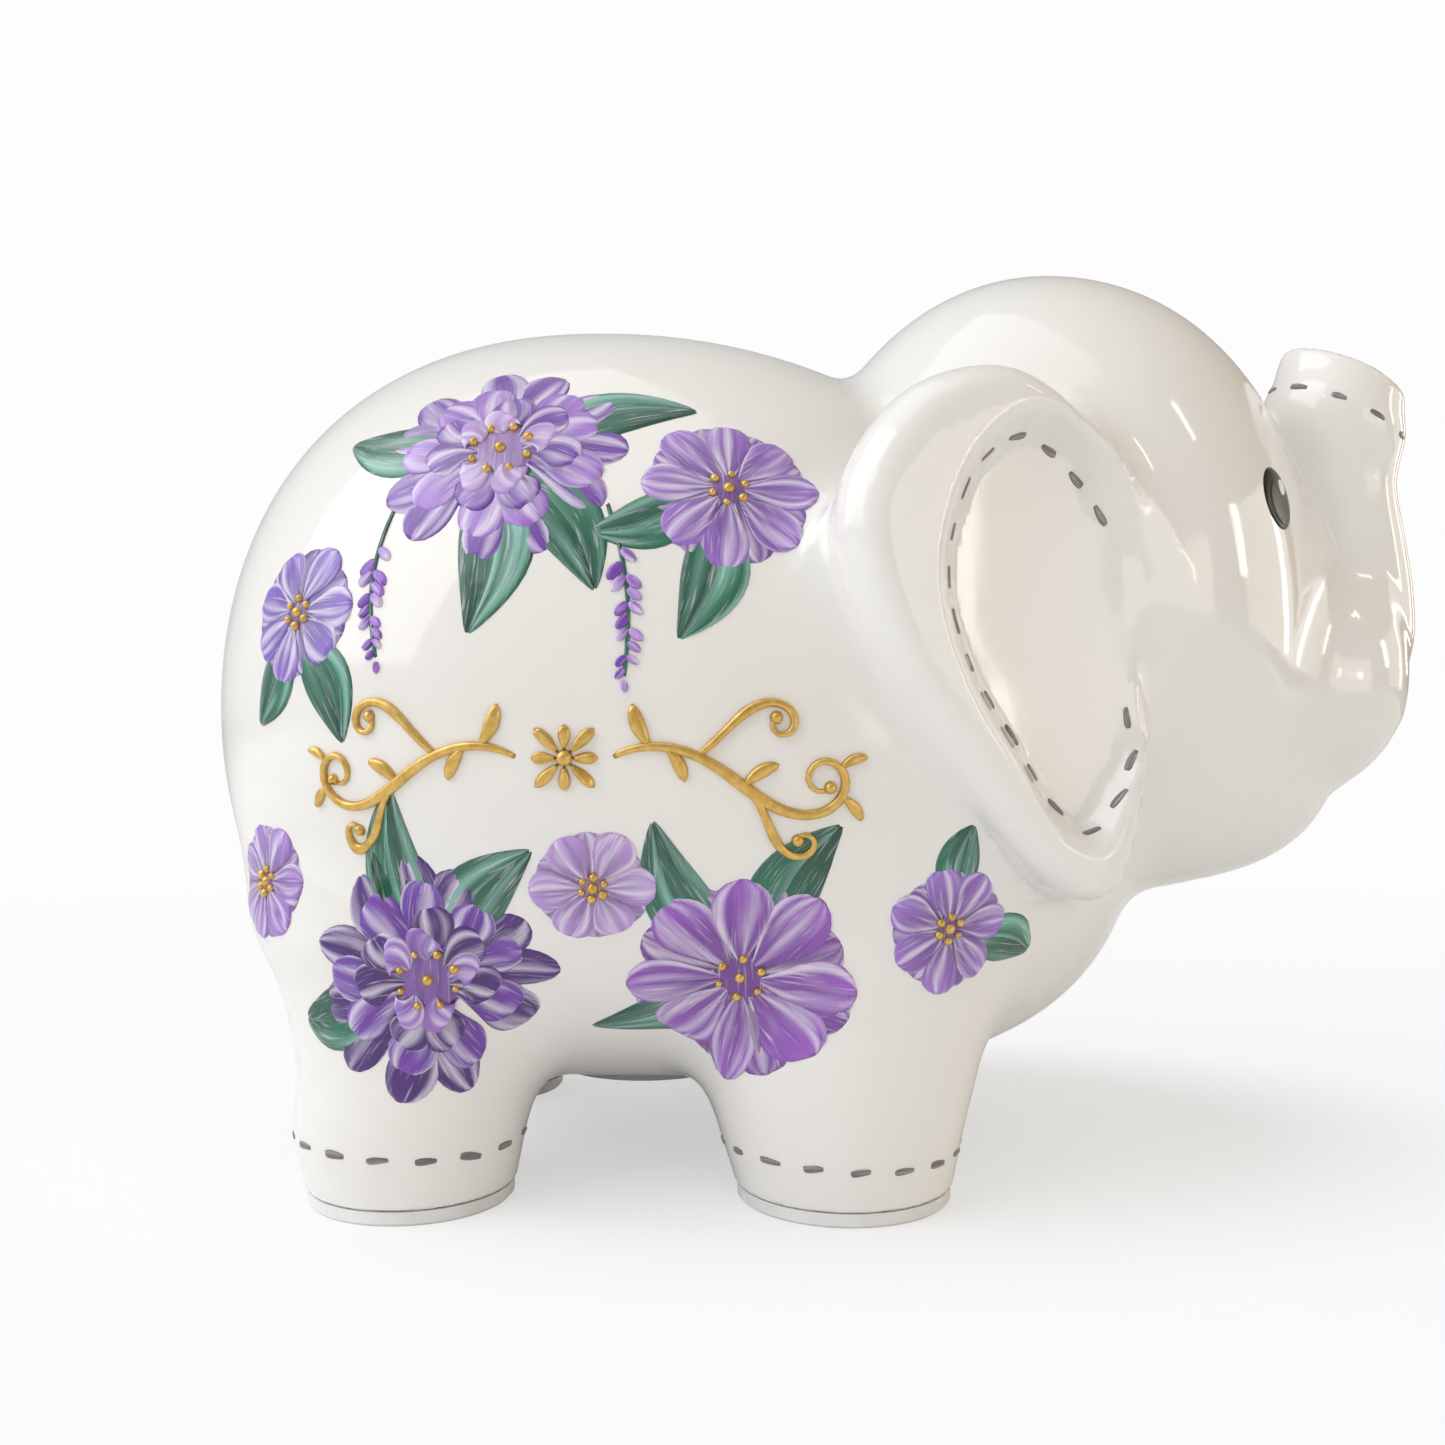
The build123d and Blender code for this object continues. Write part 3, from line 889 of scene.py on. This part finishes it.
def daisy(paint, gold, place, radius, tone, count=8):
    """Open flower of rounded petals over a darker ring of them, with a beaded heart."""
    paint.dot(place, 0, 0, 0.24 * radius, 0.5 * MM, np.array(tone) * 0.5, rows=6, columns=24)
    for level, (turn, reach, shade) in enumerate(DAISY_RINGS):
        for k in range(count):
            angle = tau * (k + turn) / count + paint.random.normal(0, 0.06)
            length = radius * reach * paint.random.uniform(0.94, 1.03)
            line = spoke(0.12 * radius, angle, 0.88 * length)
            width = petal_width(2.15 * radius / count, 0.66)
            tones = (np.array(tone) * 0.55 * shade, PALE, np.array(tone) * shade)
            paint.stroke(place, line, width, 0.28 * MM, tones, level * LAYER, PETAL_RIDGE, columns=13)
    bead_heart(gold, place, 0.13 * radius, 6, 1.0 * MM, 0.5 * MM)


def bead_heart(gold, place, radius, count, bead, lift):
    """One bead of liner in a flower's heart and a ring of them round it."""
    gold.dot(place, 0, 0, bead * 1.15, bead * 0.8 + lift, GOLD)
    for k in range(count):
        angle = tau * k / count + 0.4
        x, y = 1.45 * radius * cos(angle), 1.45 * radius * sin(angle)
        size = bead * gold.random.uniform(0.7, 1.05)
        gold.dot(place, x, y, size, size * 0.75 + lift, GOLD)


BUDS = 15  # on a sprig, to its left and right in turn and one at its tip


def sprig(paint, leaves, place, length, bow, first, second):
    """Stem with small buds of two tones in turn, which shrink towards its tip."""
    stem = ray(0, 0, pi / 2, length, bow)
    leaves.stroke(place, stem, np.full(POINTS, 0.42 * MM), 0.3 * MM, (PINE, EMERALD, EMERALD), columns=5)
    for k in range(BUDS):
        share = 0.34 + 0.66 * k / (BUDS - 1)
        x, y = stem[int(share * (POINTS - 1))]
        lean = (-1) ** k * (0.75 if k < BUDS - 1 else 0.0)
        size = (4.6 - 2.1 * share) * MM * paint.random.uniform(0.9, 1.1)
        line = ray(x, y, pi / 2 + lean, size, 0, 9)
        body, streak = (first, second) if k % 2 else (second, first)
        tones = (body, streak, PALE if k % 3 == 0 else body)
        paint.stroke(place, line, petal_width(0.27 * size, 0.5, 9), 0.5 * MM, tones, columns=7)


LEAF_ROOT = 6 * MM  # how far from its flower's middle a leaf starts, under the petals


def leaf(paint, place, angle, length, width):
    """Pointed leaf laid in two strokes, one on each side of its midrib."""
    t = np.linspace(0, 1, POINTS)
    half = 0.5 * width * np.sin(pi * t**0.75) ** 0.9 + 0.05 * MM
    for side, shade in ((1, 1.0), (-1, 0.72)):
        line = spoke(LEAF_ROOT, angle, length, 0.1 * length)
        across = np.array((-sin(angle), cos(angle))) * side
        line = line + across * (0.48 * half)[:, None]
        tones = [np.array(tone) * shade for tone in (EMERALD, MINT, PINE)]
        paint.stroke(place, line, 0.56 * half, 0.3 * MM, tones, columns=7)


def curl(start, heading, length, bend_start, bend_end, count=48):
    """Scroll line whose bend, in turns per millimetre, changes slowly at first and then faster."""
    t = np.linspace(0, 1, count)
    bend = bend_start * t + (bend_end - bend_start) * t**3 / 3
    direction = heading + tau * length / MM * bend
    step = length / (count - 1)
    x = start[0] + np.r_[0, np.cumsum(np.cos(direction[:-1]))] * step
    y = start[1] + np.r_[0, np.cumsum(np.sin(direction[:-1]))] * step
    return np.c_[x, y]


# Small leaves of the scrollwork: the vine's point they leave, angle in degrees, length
SCROLL_LEAVES = ((5, 112, 7.5), (7, -62, 6.5), (18, 30, 7), (33, -52, 6), (37, 20, 5.5))
LINER = (GOLD,) * 3
ROSETTE_PETALS = 8


def flourish(gold, place):
    """Scrollwork of raised gold liner on both sides of a small rosette."""
    vine = curl((7.5 * MM, 0), radians(28), 60 * MM, -0.0125, 0.080)
    upper = curl(vine[11], radians(36), 28 * MM, 0.006, -0.125)
    lower = curl(vine[19], radians(-50), 23 * MM, -0.012, 0.14)
    for mirror in (1, -1):
        for line, widest in ((vine, 1.0), (upper, 0.85), (lower, 0.85)):
            line = line * (mirror, 1)
            t = np.linspace(0, 1, len(line))
            width = (0.4 + (widest - 0.4) * np.sin(pi * t**0.8)) * MM * (1 + 0.07 * np.sin(19 * t))
            gold.stroke(place, line, width, 0.9 * MM, LINER, ridge=0.03, columns=7)
            gold.dot(place, *line[-1], 1.2 * MM, 1.15 * MM, GOLD)
        for point, angle, length in SCROLL_LEAVES:
            line = ray(*vine[point], radians(angle), length * MM, 0.5 * MM, 11) * (mirror, 1)
            width = petal_width(0.17 * length * MM, 0.55, 11)
            gold.stroke(place, line, width, 0.8 * MM, LINER, ridge=0.03, columns=7)
    for k in range(ROSETTE_PETALS):
        angle = tau * k / ROSETTE_PETALS
        length = (5.6 if k % 2 else 4.2) * MM
        line = spoke(1.2 * MM, angle, length, 0, 9)
        gold.stroke(place, line, petal_width(1.0 * MM, 0.6, 9), 0.8 * MM, LINER, columns=7)
    gold.dot(place, 0, 0, 1.5 * MM, 1.5 * MM, GOLD)


# -------------------------------- stitches and eyes

DASH_LENGTH = 4.3 * MM
DASH_HALF_WIDTH = 0.62 * MM


def dash(paint, place):
    """One painted stitch lying along its place's right."""
    points = 9
    length = DASH_LENGTH * paint.random.uniform(0.75, 1.15)
    turn = paint.random.normal(0, 0.09)
    line = spoke(-length / 2, turn, length, 0.1 * MM, points)
    t = np.linspace(0, 1, points)
    width = DASH_HALF_WIDTH * paint.random.uniform(0.85, 1.3) * (0.5 + 0.55 * np.sin(pi * t**0.7))
    paint.stroke(place, line, width, 0.22 * MM, (STITCH_GREY, PALE_GREY, STITCH_GREY), columns=7)


def foot_stitches(paint, leg, height, count, turn):
    """Ring of stitches round one pair of ankles, turned by a share of their pitch."""
    angle = tau * (np.arange(count) + turn) / count
    level = np.zeros(count)
    outward = np.stack((np.cos(angle), np.sin(angle), level), 1)
    along = np.stack((-np.sin(angle), np.cos(angle), level), 1)
    middle = np.stack((level, level, height + 0.6 * MM * np.sin(2 * angle)), 1)
    for side in (NEAR, FAR):
        flip = np.array((1, -side, 1))
        points = np.array((leg.x, -leg.y, 0)) + middle + outward * 2 * leg.sole_radius
        points = drop_on(points * flip, -outward * flip)
        for place in places_at(points, along * flip):
            dash(paint, place)


def trunk_stitches(paint, below_tip, count):
    """Ring of stitches round the trunk, along its tip's edge."""
    clear_of_it = 22 * MM
    ahead = np.array((TIP_FACING[2], 0, -TIP_FACING[0]))
    angle = (tau * np.arange(count) / count)[:, None]
    outward = np.cos(angle) * ahead + np.sin(angle) * np.array((0, 1, 0))
    points = drop_on(TIP - below_tip * TIP_FACING + outward * clear_of_it, -outward)
    for place in places_at(points, np.cross(TIP_FACING, outward)):
        dash(paint, place)


# Line of stitches inside the ear's rim: ahead of the ear's root, above it
EAR_STITCHES = (
    (-6.6, 15.4), (-15.6, 25.5), (-23, 27.6), (-33.5, 19.1), (-36.3, 5), (-32.3, -9.2), (-23.1, -22.8),
    (-15.2, -34.6), (-11, -38), (-6, -33.3), (-1.8, -25.9), (-1.3, -18.9),
)


def ear_stitches(paint, count):
    """Stitches evenly along the line in both ears' basins."""
    path = np.array(EAR_STITCHES) * MM
    distances = travelled(path)
    evenly = np.linspace(0, distances[-1], count)
    flat = np.stack([smooth_curve(evenly, distances, path[:, i]) for i in (0, 1)], 1)
    run = unit(np.gradient(flat, axis=0))
    for side in (NEAR, FAR):
        flip = np.array((1, -side, 1))
        start = EAR_ORIGIN + flat @ EAR_AXES[:2] + EAR_THICKNESS * EAR_AXES[2]
        points = drop_on(start * flip, -EAR_AXES[2] * flip)
        for place in places_at(points, run @ EAR_AXES[:2] * flip):
            dash(paint, place)


def eye(paint, side):
    """Round dark eye with a grey lower part and a small white glint towards the trunk."""
    place = on_side(side, x=81.2, z=126.9)
    ahead = -side * MM
    paint.dot(place, 0, 0, 6.2 * MM, 0.4 * MM, INK, rows=10, columns=40)
    paint.dot(place, 0.3 * ahead, -0.6 * MM, 4.9 * MM, 0.12 * MM, IRIS_GREY,
              rows=8, columns=32, lift=0.32 * MM)
    paint.dot(place, 1.4 * ahead, 2.5 * MM, 1.5 * MM, 0.2 * MM, GLINT,
              rows=5, columns=20, stretch=1.25, lift=0.42 * MM)


# -------------------------------- camera, floor and light

# Fitted to the photograph: a level camera that looks straight at the elephant's right side
CAMERA_PLACE = (-21 * MM, -304 * MM, 85.6 * MM)
CAMERA_ANGLE = radians(53.0)


def make_camera():
    data = bpy.data.cameras.new("camera")
    data.angle = CAMERA_ANGLE
    data.clip_start = 0.01
    camera = new_object("camera", data)
    camera.location = CAMERA_PLACE
    camera.rotation_euler = (pi / 2, 0, 0)
    bpy.context.scene.camera = camera


WARM, NEUTRAL, WHITE, COOL = (1.0, 0.93, 0.83), (1.0, 0.98, 0.95), (1, 1, 1), (0.98, 0.99, 1.0)
BACKGROUND = (0.98, 0.98, 0.98, 1)
AIM = Vector((0, 0, 0.09))  # the bank's middle, which the lamps face

# Broad soft lamps, then a window and narrow panes that show as reflections in the glaze: name,
# azimuth and elevation in degrees, distance, width and height, power, colour
LAMPS = (
    ("soft_left", -68, 36, 1.1, (1.1, 1.05), 6.9, COOL),
    ("soft_above", -60, 72, 1.2, (1.2, 1.2), 3.0, COOL),
    ("soft_right", 50, 2, 1.4, (0.9, 0.6), 2.6, WARM),
    ("window_right", 103, 9, 1.25, (0.72, 0.46), 0.9, NEUTRAL),
    ("pane_left", -28, 36, 1.3, (0.12, 0.2), 0.2, WHITE),
    ("pane_cheek", 86, 13, 1.2, (0.1, 0.26), 0.4, WARM),
    ("pane_eye", 113, 8, 1.2, (0.05, 0.36), 0.3, WARM),
    ("pane_trunk", 129, 9, 1.2, (0.07, 0.3), 0.3, WARM),
    ("pane_basin", 58, 5, 1.2, (0.07, 0.1), 0.12, WARM),
    ("pane_dome", 76, 40, 1.2, (0.05, 0.22), 0.2, WARM),
)


def lamp(name, azimuth, elevation, distance, size, power, color):
    """Plain area lamp that faces the bank. Azimuth goes from the camera's side towards +X."""
    data = bpy.data.lights.new(name, "AREA")
    data.shape = "RECTANGLE"
    data.size, data.size_y = size
    data.energy = power
    data.color = color
    light = new_object(name, data)
    azimuth, elevation = radians(azimuth), radians(elevation)
    away = Vector((sin(azimuth) * cos(elevation), -cos(azimuth) * cos(elevation), sin(elevation)))
    light.visible_camera = False
    light.location = away * distance + AIM
    light.rotation_euler = away.to_track_quat("Z", "Y").to_euler()


def make_floor():
    """Pale plain floor. To the camera it fades into the white background away from the bank."""
    bpy.ops.mesh.primitive_plane_add(size=30)
    floor = bpy.context.object
    floor.name = "floor"
    n = Nodes("floor_white")
    n.shade(Base_Color=(0.92, 0.935, 0.95, 1), Roughness=0.9)
    seen = n.add("LightPath").outputs["Is Camera Ray"]
    oval = n.stretched(n.place(), (1, 1.6, 1))
    away = n.add("VectorMath", {0: oval}, operation="LENGTH").outputs["Value"]
    white = n.ramp(away, (0.09, (0.52, 0.52, 0.52)), (0.15, (0.86, 0.86, 0.86)), (0.8, WHITE))
    share = n.add("Math", {0: seen, 1: white}, operation="MULTIPLY").outputs[0]
    n.show_to_camera(share, n.add("Emission", {"Color": BACKGROUND}), "Material Output")
    floor.data.materials.append(n.owner)


def make_world(strength):
    """Soft room light, warmer and dimmer towards the elephant's front. The camera sees plain white."""
    n = Nodes("studio", world=True)
    split = n.add("SeparateXYZ", {0: n.add("TexCoord").outputs["Generated"]})
    n.shade(Color=n.ramp(split.outputs["X"], (0, (0.97, 0.985, 1.0)), (0.7, (0.74, 0.6, 0.42))))
    n.shade(Strength=strength)
    seen = n.add("LightPath").outputs["Is Camera Ray"]
    n.show_to_camera(seen, n.add("Background", {"Color": BACKGROUND}), "World Output")
    bpy.context.scene.world = n.owner


# -------------------------------- the scene

# Middles of the flowers on the flank, x and z
UPPER_REAR, UPPER_MIDDLE, UPPER_FRONT = (-92, 104), (-58, 131), (-20, 124)
LOWER_REAR, LOWER_MIDDLE, LOWER_FRONT = (-70, 43), (-42, 59), (-18, 43)
RUMP, SHOULDER = (-100, 58), (17, 51)

# Leaves of some flowers: direction in degrees, as on the near side, reach, width
LEAVES = (
    (UPPER_MIDDLE, ((262, 37, 13), (300, 34, 12), (18, 36, 12), (160, 34, 12))),
    (UPPER_REAR, ((290, 26, 10), (235, 22, 9))),
    (UPPER_FRONT, ((255, 30, 11), (203, 25, 10))),
    (LOWER_REAR, ((98, 34, 12), (196, 32, 11), (52, 31, 11))),
    (LOWER_FRONT, ((58, 34, 12), (116, 33, 11), (208, 30, 10))),
    (SHOULDER, ((335, 22, 9), (78, 19, 8))),
)


def paint_flowers(side):
    """Garlands above and below the flank's middle, each of large and small flowers in turn."""

    def at(spot, lean=0.0):
        return on_side(side, *spot, radians(lean))

    for middle, directions in LEAVES:
        for degrees, reach, width in directions:
            angle = radians(degrees if side == NEAR else 180 - degrees)
            leaf(leaves, at(middle), angle, reach * MM - LEAF_ROOT, width * MM)
    sprig(flowers, leaves, at((-40, 122), 187), 33 * MM, 2 * MM, VIOLET, LILAC)
    sprig(flowers, leaves, at((-75, 122), 172), 29 * MM, -2 * MM, VIOLET, LAVENDER)
    daisy(flowers, gold, at(UPPER_REAR), 12.5 * MM, BLUE_VIOLET, 7)
    daisy(flowers, gold, at(UPPER_FRONT), 15.5 * MM, LAVENDER)
    dahlia(flowers, gold, at(UPPER_MIDDLE), 23 * MM, VIOLET, LAVENDER, VIOLET, LILAC)
    daisy(flowers, gold, at(LOWER_MIDDLE), 10.5 * MM, LILAC, 6)
    daisy(flowers, gold, at(RUMP), 11 * MM, LAVENDER, 7)
    daisy(flowers, gold, at(SHOULDER), 11.5 * MM, LAVENDER, 7)
    daisy(flowers, gold, at(LOWER_FRONT), 20.5 * MM, MAUVE)
    dahlia(flowers, gold, at(LOWER_REAR), 22 * MM, PLUM, VIOLET, PLUM, LAVENDER)


glazed_body = glazed_skin()
glazed_body.data.materials.append(glaze())
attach(glazed_body, BODY)
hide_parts(*CERAMIC_NODES)

flowers, leaves, gold, stitches, eyes = (Paint(seed) for seed in (3, 5, 8, 13, 21))
for side in (NEAR, FAR):
    paint_flowers(side)
    eye(eyes, side)
flourish(gold, on_side(NEAR, x=-46, z=80))
foot_stitches(stitches, LEGS[0], height=10.2 * MM, count=17, turn=0.9)
foot_stitches(stitches, LEGS[1], height=11.8 * MM, count=16, turn=0.8)
trunk_stitches(stitches, below_tip=9.4 * MM, count=10)
ear_stitches(stitches, count=18)

flowers.build("painted_flowers", acrylic("acrylic_violet"))
leaves.build("painted_leaves", acrylic("acrylic_green"))
stitches.build("painted_stitches", acrylic("acrylic_grey", 0.3))
eyes.build("painted_eyes", enamel("enamel_black"))
gold.build("gold_liner", gold_paint())

for name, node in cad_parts.items():
    if name not in CERAMIC_NODES:
        node.data.materials.clear()
        node.data.materials.append(stopper_rubber() if name == "stopper" else pad_plastic())

make_camera()
make_floor()
make_world(strength=0.52)
for settings in LAMPS:
    lamp(*settings)
bpy.context.scene.view_settings.view_transform = "Standard"
